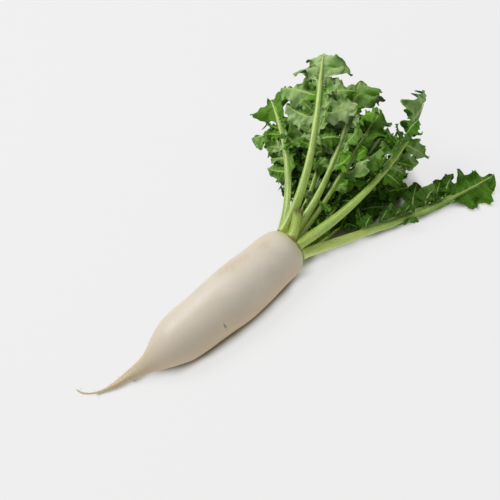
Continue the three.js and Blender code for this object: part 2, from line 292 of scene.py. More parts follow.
rootLine = curveThrough(root["line"], 0.5)
rootAway = np.concatenate([[0], np.cumsum(np.linalg.norm(np.diff(rootLine, axis=0), axis=1))])
rootOutline = curveThrough(root["profile"], 0)
crownPoint = rootLine[0]
crownAway = unit(rootLine[0] - rootLine[1])


# place and frame of the root's middle line at distances from the crown
def rootFrame(away):
    place, near, far = [pointAt(away + step, rootAway, rootLine) for step in (0, -2, 2)]
    tangent = unit(far - near)
    side = unit(np.cross(tangent, [0, 0, 1]))
    return place, side, np.cross(side, tangent)


def rootRadius(away):
    return np.interp(away, rootOutline[:, 0], rootOutline[:, 1])


# a point of the root's skin, angle 0 towards +Y and a quarter turn up
def rootSkinPoint(away, angle, lift=0.0):
    place, side, over = rootFrame(away)
    radius = rootRadius(away) + lift
    point = place + side * (radius * np.cos(angle))[..., None]
    point += over * (radius * np.sin(angle))[..., None]
    point[..., 2] = np.maximum(point[..., 2], 0)
    return point, radius


# how far angles lie from one of them, at most half a turn either way
def turnFrom(angle, middle):
    return (angle - middle + math.pi) % full - math.pi


# the unevenness of the skin: soft swells, rings on the tail, small pits in two rows and the nick
def rootLift(a, g):
    length = root["profile"][-1][0]
    body = smooth(0, 12, a) * smooth(0, 60, length - a)
    lift = root["unevenness"] * body * lumps(a / 55, np.cos(g) * 0.6, 5)
    onTail = smooth(150, 220, a) * smooth(0, 25, length - a)
    lift += root["tailRings"] * onTail * np.sin(a * 1.15 + 2 * np.sin(g))
    draws = Draws(17)
    for i in range(root["pits"]):
        at = 20 + (i + 0.5) / root["pits"] * 230 + 4 * draws.next()
        about = math.pi * (i % 2) + 0.35 + 0.3 * draws.next()
        radius = rootRadius(at)
        long, wide = root["pitWidth"]
        spot = ((a - at) / long) ** 2 + (turnFrom(g, about) * radius / wide) ** 2
        lift -= root["pitDepth"] * min(1, radius / 20) * np.exp(-spot)
    nick = root["nick"]
    around = turnFrom(g, math.radians(nick["angle"])) * 32
    spot = ((a - nick["along"]) / nick["width"]) ** 2 + (around / nick["size"]) ** 2
    return lift - nick["depth"] * np.exp(-spot)


# the crown between the stalks swells into a low rough mound
def crownMound(angle):
    share, about = np.meshgrid([0.1, 0.3, 0.5, 0.68, 0.84, 0.95], angle, indexing="ij")
    flat = root["profile"][0][1] * share
    y, z = flat * np.cos(about), flat * np.sin(about)
    height = root["moundHeight"] * (1 - share**2) + root["moundRoughness"] * lumps(y / 7, z / 7, 9)
    place, side, over = rootFrame(np.array(0.0))
    mound = crownPoint + side * y[..., None] + over * z[..., None] + crownAway * height[..., None]
    return mound, np.stack([-height, y, z], axis=-1)


def makeRoot(skin):
    length = root["profile"][-1][0]
    away = np.concatenate([[0, 0.3, 0.7, 1.2, 1.8, 2.5, 3.3], np.arange(4.2, length - 0.4, root["step"])])
    angle = np.arange(root["sides"]) / root["sides"] * full
    a, g = np.meshgrid(away, angle, indexing="ij")
    point, radius = rootSkinPoint(a, g, rootLift(a, g))
    straight = np.stack([a, radius * np.cos(g), radius * np.sin(g)], axis=-1)
    mound, moundStraight = crownMound(angle)
    heart = crownPoint + crownAway * root["moundHeight"]
    points = np.vstack([heart[None], mound.reshape(-1, 3), point.reshape(-1, 3), rootLine[-1:]])
    values = np.vstack([[[-root["moundHeight"], 0, 0]], moundStraight.reshape(-1, 3),
                        straight.reshape(-1, 3), [[length, 0, 0]]]) * mm
    shell = {"points": points, "faces": tubeFaces(len(mound) + len(away), root["sides"]),
             "values": {"straight": values}}
    return makePiece("daikon_root", [shell], skin)


rootColors = {
    "flesh": (0.695, 0.618, 0.488),
    "pale": (0.745, 0.67, 0.56),
    "cool": (0.64, 0.60, 0.48),
    "soilAndShade": (0.56, 0.425, 0.25),
    "paintedBounce": (0.60, 0.43, 0.28),
    "tail": (0.57, 0.455, 0.27),
    "crown": (0.60, 0.61, 0.32),
    "scar": (0.20, 0.16, 0.07),
    "mark": (0.42, 0.31, 0.19),
    "rust": (0.36, 0.24, 0.11),
    "stain": (0.62, 0.44, 0.26),
    "nick": (0.13, 0.10, 0.075),
    "roughness": 0.42,
}


# where a mark lies on the straightened root
def rootSpot(mark):
    radius = float(rootRadius(mark["along"]))
    turn = math.radians(mark["angle"])
    return (mark["along"] * mm, radius * math.cos(turn) * mm, radius * math.sin(turn) * mm)


def rootMaterial():
    skin = Skin("root_skin", rootColors)
    straight = skin.value("straight")
    away, across, high = skin.split(straight)
    broad = skin.noise(straight, 16.0, 3.0)
    skin.color = skin.blend(skin.between(broad, 0.35, 0.65), "flesh", "pale")
    cooler = skin.between(skin.noise(straight, 27.0, 2.0), 0.5, 0.68)
    skin.lay("cool", cooler, 0.4)
    # earthier and darker on the under side, partly soil stain and partly painted shade, and a faint warm
    # painted reflection along the far side
    level = skin.timesPlus(skin.noise(straight, 22.0, 3.0), 0.014, high)
    skin.lay("soilAndShade", skin.between(level, 0.034, -0.016), 0.95)
    # painted reflection: a warm tint of light thrown back onto the far side
    farSide = skin.timesPlus(skin.noise(straight, 30.0, 3.0), 0.012, across)
    skin.lay("paintedBounce", skin.between(farSide, 0.012, 0.044), 0.35)
    # warmer and thinner skinned towards the tail
    ragged = skin.timesPlus(skin.noise(straight, 45.0, 4.0), 0.05, away)
    skin.lay("tail", skin.between(ragged, 0.17, 0.31), 0.75)
    # fine level lines across the skin
    lines = skin.noise(skin.scaled(straight, (1400.0, 110.0, 110.0)), 1.0, 2.0)
    patches = skin.between(skin.noise(straight, 60.0, 2.0), 0.45, 0.7)
    lineMask = skin.times(skin.between(lines, 0.60, 0.74), patches)
    skin.lay("mark", lineMask, 0.35)
    # small brown specks in some places
    cells = skin.node("ShaderNodeTexVoronoi", {"Vector": straight, "Scale": 260.0})
    few = skin.between(skin.noise(straight, 38.0, 2.0), 0.52, 0.75)
    speck = skin.times(skin.between(cells.outputs["Distance"], 0.22, 0.08), few)
    skin.lay("mark", speck, 0.4)
    # faint rusty marks where it was rubbed
    broken = skin.between(skin.noise(straight, 420.0, 3.0), 0.52, 0.68)
    for mark in root["marks"]:
        blot = skin.spotMask(straight, rootSpot(mark), (0.6, 1.0, 1.0), 0.005, mark["size"] * mm * 1.5)
        skin.lay("stain", blot, 0.22)
        skin.lay("rust", skin.times(blot, broken), 0.28)
    # the nick, a short dark slit
    nick = root["nick"]
    slit = skin.spotMask(straight, rootSpot(nick), (2.1, 0.8, 0.65), 0.003, nick["size"] * mm * 0.8)
    skin.lay("nick", slit, 0.9)
    # green round the crown, with old scars on top of it
    rim = skin.timesPlus(skin.noise(straight, 90.0, 2.0), 0.010, away)
    skin.lay("crown", skin.between(rim, 0.023, 0.006), 0.85)
    scars = skin.times(skin.between(skin.noise(straight, 260.0, 2.0), 0.42, 0.6), 0.7)
    skin.lay("scar", scars, skin.between(away, 0.0012, -0.0004))
    grain = skin.noise(skin.scaled(straight, (500.0, 160.0, 160.0)), 1.0, 3.0)
    normal = skin.bump(grain, 0.0002, 0.35)
    normal = skin.bump(lineMask, 0.0003, -0.5, normal)
    rough = skin.timesPlus(broad, 0.16, rootColors["roughness"] - 0.08)
    return skin.finish(rough, normal, 0.3, 0.006, (1.0, 0.75, 0.5))


rootPiece = makeRoot(rootMaterial())
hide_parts("root")
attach(rootPiece, "root")
print("root made:", len(rootPiece.data.vertices), "points")


# fine rootlets on the tail and the lower root

rootlets = {"count": 11, "from": 214, "to": 316, "length": (5, 11), "thickness": 0.28, "droop": 0.5,
            "sides": 6, "steps": 14, "dark": (0.62, 0.50, 0.34), "light": (0.74, 0.66, 0.52)}


def makeRootlets(skin):
    draws = Draws(59)
    shells = []
    for i in range(rootlets["count"]):
        share = (i + 0.5 + 0.4 * draws.next()) / rootlets["count"]
        away = mix(rootlets["from"], rootlets["to"], share)
        angle = math.pi * (i % 2) + 0.5 * draws.next()
        start, radius = rootSkinPoint(np.array([away]), np.array([angle]), -0.3)
        place, side, over = rootFrame(np.array([away]))
        outward = unit(start - place)[0]
        tangent = np.cross(over, side)[0]
        length = mix(*rootlets["length"], 0.5 + 0.5 * draws.next())
        t = np.linspace(0, 1, rootlets["steps"])[:, None]
        sway = 0.5 * draws.next()
        bend = tangent * (0.6 + 0.5 * draws.next()) + side[0] * sway
        path = start + outward * length * t + bend * length * t**2 * 0.6
        path = path - np.array([0, 0, rootlets["droop"]]) * length * t**2
        path[:, :2] += 0.42 * np.sin(t * 7 + 3 * draws.next()) * t
        thick = rootlets["thickness"] * (1 - 0.75 * t) * (0.8 + 0.3 * draws.next())
        path[:, 2] = np.maximum(path[:, 2], thick[:, 0])
        shells.append(tubeShell(path, thick, rootlets["sides"]))
    return makePiece("rootlets", shells, skin)


# a thin round tube along a path
def tubeShell(path, thick, sides):
    ahead = unit(np.gradient(path, axis=0))
    side = unit(np.cross(ahead, [0.13, 0.07, 1.0]))
    over = np.cross(side, ahead)
    angle = np.arange(sides) / sides * full
    ring = side[:, None] * np.cos(angle)[None, :, None] + over[:, None] * np.sin(angle)[None, :, None]
    wall = path[:, None] + ring * thick[:, None]
    points = np.vstack([path[:1], wall.reshape(-1, 3), path[-1:]])
    return {"points": points, "faces": tubeFaces(len(path), sides), "values": {"straight": points * mm}}


def rootletMaterial():
    skin = Skin("rootlet_skin", rootlets)
    tone = skin.noise(skin.value("straight"), 120.0, 2.0)
    skin.color = skin.blend(tone, "dark", "light")
    return skin.finish(0.6, skin.bump(tone, 0.0001, 0.3), 0.1, 0.002, (1.0, 0.7, 0.4))


rootletPiece = makeRootlets(rootletMaterial())
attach(rootletPiece, "root")
print("rootlets made")


# the leaves: where each stalk stands on the crown, how it runs, and the size of its blade

leafForm = {
    "stalkTip": 1.8, "stalkDepth": 0.66, "stalkHollow": 0.1, "stalkWaist": 0.9,
    "bladeThickness": 0.8, "ribGap": 0.7, "wingWidth": 2.4, "wingStart": 0.6, "wingRun": 0.04,
    "leafletGrip": 0.22,
}
usualLeaf = {
    "blade": 0.3, "lobe": 0.72, "width": 8, "pairs": 3, "leaflet": (42, 15), "lobeHalf": 27,
    "lobeCuts": 0.2, "bareRib": 0, "bareSide": 0, "frontLeaflets": (), "fillTo": None,
    "inShade": 0, "stalkTone": 0, "slim": 0.88,
}
leaves = [{**usualLeaf, **own} for own in (
    {"seat": (-13.1, -6.1), "heading": (-12, -29, -12), "climb": (-17, 0, 3), "roll": (65, 120, 165),
     "length": 258, "blade": 0.29, "lobe": 0.76, "width": 13.4, "pairs": 4, "leaflet": (46, 16),
     "lobeHalf": 26, "bareSide": 1, "frontLeaflets": (5, 6, 7), "inShade": 0.75, "stalkTone": -1,
     "slim": 0.82, "seed": 59},
    {"seat": (-12.9, 6.6), "heading": (-20, -3, 26), "climb": (6, 15, 12), "roll": (117, 100, 60),
     "length": 257, "blade": 0.5, "lobe": 0.76, "width": 13.4, "leaflet": (48, 16), "slim": 0.76,
     "seed": 23},
    {"seat": (-4.2, 13.9), "heading": (-4, 19, 36), "climb": (16, 21, -10), "roll": (163, 180, 190),
     "length": 248, "blade": 0.36, "width": 10.5, "leaflet": (48, 16), "lobeHalf": 29,
     "stalkTone": 0.7, "slim": 0.72, "seed": 37},
    {"seat": (7, 12.7), "heading": (2, 29, 42), "climb": (26, 29, -10), "roll": (209, 190, 170),
     "length": 270, "blade": 0.4, "lobe": 0.74, "width": 13.4, "leaflet": (50, 17), "lobeHalf": 31,
     "lobeCuts": 0.3, "bareRib": 0.08, "fillTo": 0.84, "stalkTone": 1, "slim": 0.82, "seed": 41},
    {"seat": (14.3, 2.3), "heading": (22, 50, 60), "climb": (14, 20, -20), "roll": (261, 225, 200),
     "length": 247, "blade": 0.34, "width": 13, "leaflet": (48, 17), "lobeHalf": 30,
     "stalkTone": 0.6, "seed": 53},
    {"seat": (10.6, -9.9), "heading": (18, 42, 56), "climb": (-14, -3, 1), "roll": (-47, -20, 0),
     "length": 237, "blade": 0.26, "width": 13, "pairs": 4, "leaflet": (46, 15), "lobeHalf": 28,
     "seed": 67},
    {"seat": (-1.5, -14.4), "heading": (-4, 3, 8), "climb": (-11, -1.5, 1), "roll": (4, 10, 10),
     "length": 212, "width": 12, "leaflet": (44, 15), "seed": 79},
    {"seat": (0.5, -0.5), "heading": (10, 34, 42), "climb": (8, 14, -6), "roll": (-80, -30, 10),
     "length": 247, "leaflet": (46, 16), "lobeHalf": 29, "seed": 84},
    {"seat": (-7, -3.4), "heading": (-2, 11, 17), "climb": (2, 9, -4), "roll": (65, 20, 0),
     "length": 222, "lobe": 0.7, "leaflet": (44, 15), "seed": 97},
    {"seat": (-4.8, 6), "heading": (-6, 5, 16), "climb": (12, 22, 0), "roll": (143, 170, 180),
     "length": 202, "blade": 0.38, "lobe": 0.68, "seed": 101},
    {"seat": (3.4, -7.3), "heading": (8, 24, 30), "climb": (-4, 3, 2), "roll": (-25, 10, 20),
     "length": 197, "blade": 0.26, "lobe": 0.7, "leaflet": (40, 15), "lobeHalf": 26, "seed": 113},
    {"seat": (8, -1.5), "heading": (18, 48, 52), "climb": (2, 7, 0), "roll": (-80, -30, -10),
     "length": 222, "lobe": 0.7, "seed": 127},
    {"seat": (3.8, 6.8), "heading": (6, 26, 34), "climb": (10, 20, 0), "roll": (208, 190, 180),
     "length": 205, "blade": 0.36, "lobe": 0.7, "seed": 131},
)]


# the rib of a leaf, followed from its seat by its heading and climb; t is 0 there and 1 at its tip
class Rib:
    steps = 60

    def __init__(self, leaf):
        self.leaf = leaf
        points = [crownPoint + np.array([0, *leaf["seat"]])]
        for i in range(self.steps):
            way = self.ahead(np.array((i + 0.5) / self.steps))
            points.append(points[-1] + way * leaf["length"] / self.steps)
        self.points = np.array(points)

    def ahead(self, t):
        heading = np.radians(glide(self.leaf["heading"], t))
        climb = np.radians(glide(self.leaf["climb"], t))
        level = np.cos(climb)
        return np.stack([np.cos(heading) * level, np.sin(heading) * level, np.sin(climb)], axis=-1)

    def point(self, t):
        return pointAt(np.asarray(t) * self.steps, np.arange(self.steps + 1), self.points)

    # the ways ahead, out of the leaf's upper face, and to its left
    def frame(self, t):
        forward = self.ahead(np.asarray(t))
        left = unit(np.cross([0, 0, 1], forward))
        over = np.cross(forward, left)
        roll = np.radians(glide(self.leaf["roll"], np.asarray(t)))[..., None]
        return forward, over * np.cos(roll) + left * np.sin(roll), left * np.cos(roll) - over * np.sin(roll)

    def stalkWidth(self, t):
        waist = mix(leafForm["stalkWaist"], 1, np.minimum(1, 12 * t))
        return waist * mix(leafForm["stalkTip"], self.leaf["width"], (1 - t) ** 0.6)

    # how much thinner the stalk gets on its way out than its solid
    def slimness(self, t):
        return mix(1, self.leaf["slim"], smooth(0.06, 0.5, t))

    def wingHalf(self, t):
        begun = np.minimum(1, (t - self.leaf["blade"]) / leafForm["wingRun"])
        return mix(leafForm["wingStart"], self.stalkWidth(t) / 2 + leafForm["wingWidth"], begun)

    # the sheet that lies on the rib, v millimetres to the left of the rib's middle
    def sheetPoint(self, t, v):
        forward, face, side = self.frame(t)
        lift = leafForm["ribGap"] + leafForm["bladeThickness"] / 2
        return self.point(t) + face * lift + side * np.asarray(v)[..., None]


# stalks

stalks = {
    "sides": 32, "rings": 90, "ridges": 7, "ridgeHeight": 0.16, "shoulder": 0.16,
    "foot": 2.5, "flare": 0.24, "flareLength": 9, "ribEnd": 0.86, "ribThinning": 0.3,
}


# the wall of a stalk: hollowed above, rounded and finely ridged below
def stalkShell(rib, t, width):
    angle = np.arange(stalks["sides"]) / stalks["sides"] * full
    across, high = np.cos(angle), np.sin(angle)
    upper = np.maximum(high, 0)
    shoulder = stalks["shoulder"] * np.sqrt(upper) * (1 - upper) - leafForm["stalkHollow"] * upper
    rise = np.minimum(high, 0) * leafForm["stalkDepth"] + shoulder
    ridge = np.where(high < 0, np.cos(stalks["ridges"] * 2 * angle), 0)
    grow = stalks["ridgeHeight"] * np.minimum(1, width / 10)[:, None] * ridge[None]
    x = width[:, None] * 0.5 * across[None] + grow * across[None]
    y = width[:, None] * rise[None] + grow * high[None]
    forward, face, side = rib.frame(t)
    wall = rib.point(t)[:, None] + side[:, None] * x[..., None] + face[:, None] * y[..., None]
    # the foot is cut off along the crown and sunk into it
    depth = (wall[0] - crownPoint) @ crownAway + stalks["foot"]
    wall[0] -= forward[0] * (depth / (forward[0] @ crownAway))[:, None]
    along = np.broadcast_to(t[:, None] * rib.leaf["length"] * mm, x.shape)
    about = np.broadcast_to(angle[None], x.shape)
    values = np.stack([along, about, x * 0 + rib.leaf["stalkTone"]], axis=-1)
    inside = np.stack([along, x * mm, y * mm], axis=-1)
    return wall, values, inside


# a stalk's wall gets one point at each end
def closeStalk(wall, values, inside, end):
    flat = [field.reshape(-1, 3) for field in (wall, values, inside)]
    points, along, straight = [np.vstack([field[:1], field, field[-1:]]) for field in flat]
    points[0], points[-1] = wall[0].mean(axis=0), end
    return {"points": points, "faces": tubeFaces(len(wall), stalks["sides"]),
            "values": {"along": along, "straight": straight}}


def makeStalk(number, rib, skin):
    leaf = rib.leaf
    share = np.linspace(0, 1, stalks["rings"]) ** 0.9
    end = mix(leaf["lobe"], 1, stalks["ribEnd"])
    t = share * end
    foot = 1 + stalks["flare"] * np.exp(-(t * leaf["length"] / stalks["flareLength"]) ** 1.5)
    past = (t - leaf["lobe"]) / (end - leaf["lobe"])
    thin = np.where(past > 0, mix(1, stalks["ribThinning"], past), 1)
    tip = np.where(share > 0.98, np.sqrt(np.maximum(0, (1.001 - share) / 0.021)), 1)
    width = rib.stalkWidth(t) * rib.slimness(t) * foot * thin * tip
    wall, values, inside = stalkShell(rib, t, width)
    return makePiece(f"stalk_{number}", [closeStalk(wall, values, inside, rib.point(t[-1]))], skin)


# a leaf that was broken off short, with a dry frayed end
brokenStalk = {
    "seat": (-8.5, 14.6), "heading": (10, 18, 20), "climb": (28, 38, 42), "roll": (150, 155, 160),
    "length": 33, "width": (14.5, 12.0), "stalkTone": 0, "ragged": 2.2, "hollowEnd": 2.5,
    "fibres": 7, "fibreThickness": 0.3, "fibreLength": 3,
}


def makeBrokenStalk(skin):
    rib = Rib(brokenStalk)
    draws = Draws(31)
    t = np.linspace(0, 1, 40)
    wall, values, inside = stalkShell(rib, t, mix(*brokenStalk["width"], t**0.5))
    forward, face, side = rib.frame(t)
    angle = np.arange(stalks["sides"]) / stalks["sides"] * full
    waves = np.sin(5 * angle + 1) + np.sin(11 * angle) * 0.7 + np.sin(17 * angle + 2) * 0.5
    fray = brokenStalk["ragged"] * waves
    wall += forward[:, None] * (smooth(0.6, 1, t)[:, None] * fray[None])[..., None]
    heart = wall[-1].mean(axis=0) - forward[-1] * brokenStalk["hollowEnd"]
    shells = [closeStalk(wall, values, inside, heart)]
    for i in range(brokenStalk["fibres"]):
        start = wall[-1][int((i + 0.5) / brokenStalk["fibres"] * stalks["sides"])]
        k = np.linspace(0, 1, 10)[:, None]
        bend = face[-1] * draws.next() + side[-1] * draws.next()
        reach = brokenStalk["fibreLength"] * (1 + 0.5 * draws.next())
        path = start + forward[-1] * k * reach + bend * 2.5 * k**2
        fibre = tubeShell(path, brokenStalk["fibreThickness"] * (1 - 0.8 * k), 6)
        count = len(fibre["points"])
        fibre["values"] = {"along": np.full((count, 3), [brokenStalk["length"] * mm, 0, 0]),
                           "straight": fibre["points"] * mm}
        shells.append(fibre)
    return makePiece("broken_stalk", shells, skin)


stalkColors = {
    "foot": (0.37, 0.47, 0.065),
    "middle": (0.31, 0.46, 0.065),
    "tip": (0.54, 0.70, 0.235),
    "light": (0.58, 0.74, 0.22),
    "dark": (0.17, 0.30, 0.025),
    "olive": (0.17, 0.29, 0.03),
    # painted light for the foot of the lowest stalk, which lies in shade
    "pale": (0.73, 0.87, 0.24),
    "seam": (0.22, 0.17, 0.05),
    "dry": (0.16, 0.10, 0.03),
    "roughness": 0.3,
}


def stalkMaterial(name, dryFrom=None):
    skin = Skin(name, stalkColors)
    away, about, tone = skin.split(skin.value("along"))
    straight = skin.value("straight")
    skin.color = skin.blend(skin.between(away, 0.004, 0.045), "foot", "middle")
    # paler towards the tip of some stalks; another one is painted pale at its foot, painted light where it
    # lies in shade, and is olive from there on
    paler = skin.math("MAXIMUM", tone, 0.0)
    skin.lay("tip", paler, skin.between(away, 0.03, 0.19))
    olive = skin.math("MAXIMUM", skin.times(tone, -1.0), 0.0)
    skin.lay("pale", olive, skin.between(away, 0.16, 0.04))
    greener = skin.times(olive, skin.between(away, 0.12, 0.17))
    skin.lay("olive", greener, 0.8)
    # greener along both edges and paler along the back: partly the stalk's own tone, partly painted shade on
    # the edges and a painted highlight along the rounded back
    edge = skin.math("POWER", skin.math("ABSOLUTE", skin.math("COSINE", about)), 3.0)
    skin.lay("dark", edge, skin.timesPlus(olive, -0.3, 0.35))
    below = skin.math("MAXIMUM", skin.times(skin.math("SINE", about), -1.0), 0.0)
    skin.lay("light", skin.math("POWER", below, 6.0), 0.3)
    streaks = skin.noise(skin.scaled(straight, (22.0, 520.0, 520.0)), 1.0, 3.0)
    skin.lay("light", skin.between(streaks, 0.5, 0.68), 0.5)
    skin.lay("dark", skin.between(streaks, 0.47, 0.32), 0.5)
    dots = skin.noise(skin.scaled(straight, (0.6, 1.0, 1.0)), 620.0, 2.0, 0.6)
    skin.lay("light", skin.between(dots, 0.52, 0.66), 0.4)
    skin.lay("dark", skin.between(dots, 0.46, 0.34), 0.3)
    skin.lay("seam", skin.between(away, 0.0042, 0.0008), 0.75)
    if dryFrom is not None:
        ragged = skin.timesPlus(skin.noise(straight, 300.0, 3.0), 0.012, away)
        skin.lay("dry", skin.between(ragged, dryFrom, dryFrom + 0.006), 0.85)
    normal = skin.bump(streaks, 0.0006, 0.6)
    normal = skin.bump(dots, 0.0003, 0.4, normal)
    return skin.finish(stalkColors["roughness"], normal, 0.15, 0.003, (0.8, 1.0, 0.3))


# blades

blades = {
    "thickness": 0.45, "veinHeight": 0.25, "midrib": 0.9, "lobeMidrib": 0.45, "veins": 6, "lobeVeins": 7,
    "leafletGrid": (45, 21), "lobeGrid": (76, 35), "wingGrid": (80, 7), "fillGrid": (27, 13),
    "teeth": 5, "toothDepth": 0.28, "fineTeeth": 0.06, "lobeTeeth": 9, "lobeToothDepth": 0.15,
    "fold": 0.36, "droop": 0.3, "curl": 0.3, "ruffle": 0.26, "quilt": 1.04, "lumps": 2.6,
    "rest": 0.6, "lobeRest": 0.4, "lowest": 0.15, "ceiling": 148, "headroom": 6, "paleHeight": 75,
    "fillStep": 10, "fillLength": (0.45, 0.8), "fillHalf": (0.45, 0.75), "fillClear": 1.3,
    "fillApart": 3.2, "fillLow": 1.5, "crownClear": 8,
    "front": {"spread": math.radians(-50), "length": 20, "half": 8},
}
sky = {"rays": 24, "turn": 2.4, "start": 0.004, "reach": 0.15}
# ways for a leaflet to hang: how far it sags, lifts off its rib's plane and twists
hangs = [(0.9, 0.1, 0), (0.4, 0.25, 20), (1.5, 0.2, -15), (0, 0.3, -25), (-0.6, 0.2, 10),
         (0.7, -0.4, 35), (-1.2, 0.4, 30), (2, 0.5, 0), (-0.3, -0.7, -30), (0.6, 0.8, 45)]
sizes = [1, 0.8, 0.62, 0.45]
# the same for the small leaflets, and for one that hangs in front of a stalk with a bare side
fillHangs = [(1.6, -0.5, 20), (0.4, 0.9, -40), (0.9, -0.9, 55), (-0.9, 0.7, 25), (2.2, 0.3, -30),
             (0.1, 0.5, 60), (1.2, 1.3, -10), (0.5, -1.4, -50), (-0.5, -0.6, 35), (0.8, 0.2, -70)]
frontHangs = [(0.1, -1.0, 20), (-0.3, -1.3, -20), (0.1, -1.7, 25)]
fillSizes = [1, 0.75, 0.55]


# a drawn plan of one leaf: its last lobe and its leaflets, in the order of their draws
def planLeaf(leaf):
    draws = Draws(leaf["seed"])
    lobe = {"phase": 3 * draws.next(), "cup": 0.25 + 0.15 * draws.next()}
    specs = []
    step = (leaf["lobe"] - leaf["blade"]) / leaf["pairs"]
    for pair in range(leaf["pairs"]):
        for side in (1, -1):
            size = (0.4 + 0.6 * (pair + 1) / leaf["pairs"]) * (1 + 0.12 * draws.next())
            specs.append({
                "side": side, "t": leaf["blade"] + step * (pair + 0.5),
                "grip": leafForm["leafletGrip"] * step,
                "spread": math.radians(76 - 18 * pair / leaf["pairs"] + 6 * draws.next()),
                "length": leaf["leaflet"][0] * size, "half": leaf["leaflet"][1] * (0.3 + 0.7 * size),
                "sweep": 0.25 + 0.2 * draws.next(), "phase": 3 * draws.next(),
                "cup": 0.22 + 0.2 * draws.next(), "ripple": 0.22 + 0.1 * draws.next(),
            })
    return lobe, [spec for spec in specs if spec["side"] != leaf["bareSide"]]


def lobedHalf(u, half, phase, deep):
    body = np.sin(math.pi * (0.06 + 0.88 * u**0.8)) ** 0.75
    return half * body * (1 + deep * np.cos(full * 3 * u + phase))


# u runs from a leaflet's foot to its tip, v from its back edge, -1, to its front edge, 1
def leafletSurface(rib, spec, hang, size):
    sag, rise, turned = hang
    ahead, ribFace, side = rib.frame(spec["t"])
    start = unit(side * spec["side"] * math.sin(spec["spread"]) + ahead * math.cos(spec["spread"])
                 + ribFace * rise)
    turn = ahead * spec["sweep"] - np.array([0, 0, 1]) * sag
    reach = spec["length"] * size / math.sqrt(1 + 0.3 * turn @ turn)
    foot = rib.sheetPoint(spec["t"], spec["side"] * rib.wingHalf(spec["t"]))

    def surface(u, v, edgeOut=0.0, lift=0.0):
        w = u[..., None]
        forward = unit(start + turn * w)
        across = unit(ahead - forward * dot(forward, ahead))
        face = np.cross(across, forward) * spec["side"]
        twist = math.radians(turned) * w
        edge = across * np.cos(twist) + face * np.sin(twist)
        normal = face * np.cos(twist) - across * np.sin(twist)
        half = lobedHalf(u, spec["half"] * size, spec["phase"] + np.where(v > 0, 0, 2.2), 0.16)
        ripple = spec["ripple"] * np.abs(v) * np.sin(full * 1.6 * u + 3 * spec["phase"] + v)
        raised = half * (spec["cup"] * v * v + ripple) + lift
        return (foot + start * reach * w + turn * reach * w * w / 2
                + edge * (v * half * (1 + edgeOut))[..., None] + normal * raised[..., None])
    return surface


# the last lobe follows the rib and is pressed flat where it meets the table
def lobeSurface(rib, lobe):
    leaf = rib.leaf
    neck = rib.wingHalf(leaf["lobe"])

    def surface(u, v, edgeOut=0.0, lift=0.0):
        t = mix(leaf["lobe"], 1, u)
        opened = smooth(leaf["bareRib"], leaf["bareRib"] + 0.42, u)
        broad = lobedHalf(u, leaf["lobeHalf"], lobe["phase"] + np.where(v > 0, 0, 2), leaf["lobeCuts"])
        half = mix(neck, broad, opened)
        ripple = 0.16 * np.abs(v) * np.sin(full * 1.7 * u + lobe["phase"] + 2 * v)
        raised = opened * half * (lobe["cup"] * v * v + ripple) + lift * opened
        p = rib.sheetPoint(t, v * half * (1 + edgeOut * opened)) + rib.frame(t)[1] * raised[..., None]
        p[..., 2] = np.maximum(p[..., 2], blades["lobeRest"])
        return p
    return surface


# the way a leaflet hangs is the one whose corners lie on its solid; one that has none was torn off
def findHang(rib, spec, solid):
    u = np.array([1, 1, 1, 0.5, 0.5])
    v = np.array([-1, 0, 1, -1, 1])
    near = leafForm["bladeThickness"] * 0.55 * mm
    for size in sizes:
        for hang in hangs:
            surface = leafletSurface(rib, spec, hang, size)
            if all(solid.find_nearest(Vector(p))[3] < near for p in surface(u, v) * mm):
                return surface, size
    return None


# how far the edge stands out: round lobes that lean forward with sharp notches between them, small
# teeth on them, and a rounded tip
def teethAt(u, v, count, phase, depth=blades["toothDepth"]):
    place = count * u + phase
    uneven = 0.8 + 0.3 * np.sin(5.1 * np.floor(place) + 3 * phase)
    coarse = uneven * np.sin(math.pi * (place % 1) ** 1.35) ** 0.8 - 0.55
    small = np.sin(math.pi * ((count * 2.6 * u + 2 * phase) % 1) ** 1.3) - 0.6
    out = (depth * coarse + blades["fineTeeth"] * small) * np.abs(v) ** 4 * smooth(0.02, 0.15, u)
    cap = np.sqrt(np.clip(1 - (np.maximum(u - 0.82, 0) / 0.181) ** 2, 0.012, 1))
    return (1 + out) * cap - 1


# where the side veins lie: a whole number and a half is on one
def veinRow(u, v, count):
    return count * u - 0.75 * np.abs(v) + 0.2


# 1 on a side vein and 0 between them
def veinsAt(u, v, count):
    side = 1 - np.clip(np.abs(veinRow(u, v, count) % 1 - 0.5) * 2 / 0.28, 0, 1)
    return side * (1 - 0.7 * np.abs(v)) * smooth(0, 0.1, u) * smooth(1.0, 0.8, u)


# how one leaflet is crumpled: folded along its midrib, curled and ruffled at its edges, and swollen
# between its veins; facing is 1 when its upper side looks up, and its halves then droop below it
def crumple(u, v, half, length, draws, facing):
    out = np.abs(v)
    fold, curl, waves = draws.next(), draws.next(), 2.5 + 0.7 * draws.next()
    phase = np.where(v > 0, 3 * draws.next(), 3 * draws.next())
    seed = int(500 + 400 * draws.next())
    lift = half * ((blades["fold"] * fold - blades["droop"] * facing) * out + blades["curl"] * curl * out**3)
    ruffle = blades["ruffle"] * half
    lift = lift + ruffle * out**1.8 * np.sin(full * waves * u + phase)
    lift = lift + 0.5 * ruffle * out**3 * np.sin(full * 2.3 * waves * u + 2 * phase)
    swell = np.abs(np.cos(math.pi * veinRow(u, v, 6))) - 0.5
    lift = lift + blades["quilt"] * swell * (1 - out**3) * np.minimum(1, 4 * out)
    off = blades["lumps"] * np.minimum(1, 2.5 * out)
    lift = lift + off * lumps(u * length / 17, v * half / 17, seed)
    lift = lift + 0.3 * off * lumps(u * length / 7, v * half / 7, seed + 3)
    return lift * smooth(0.02, 0.3, u)


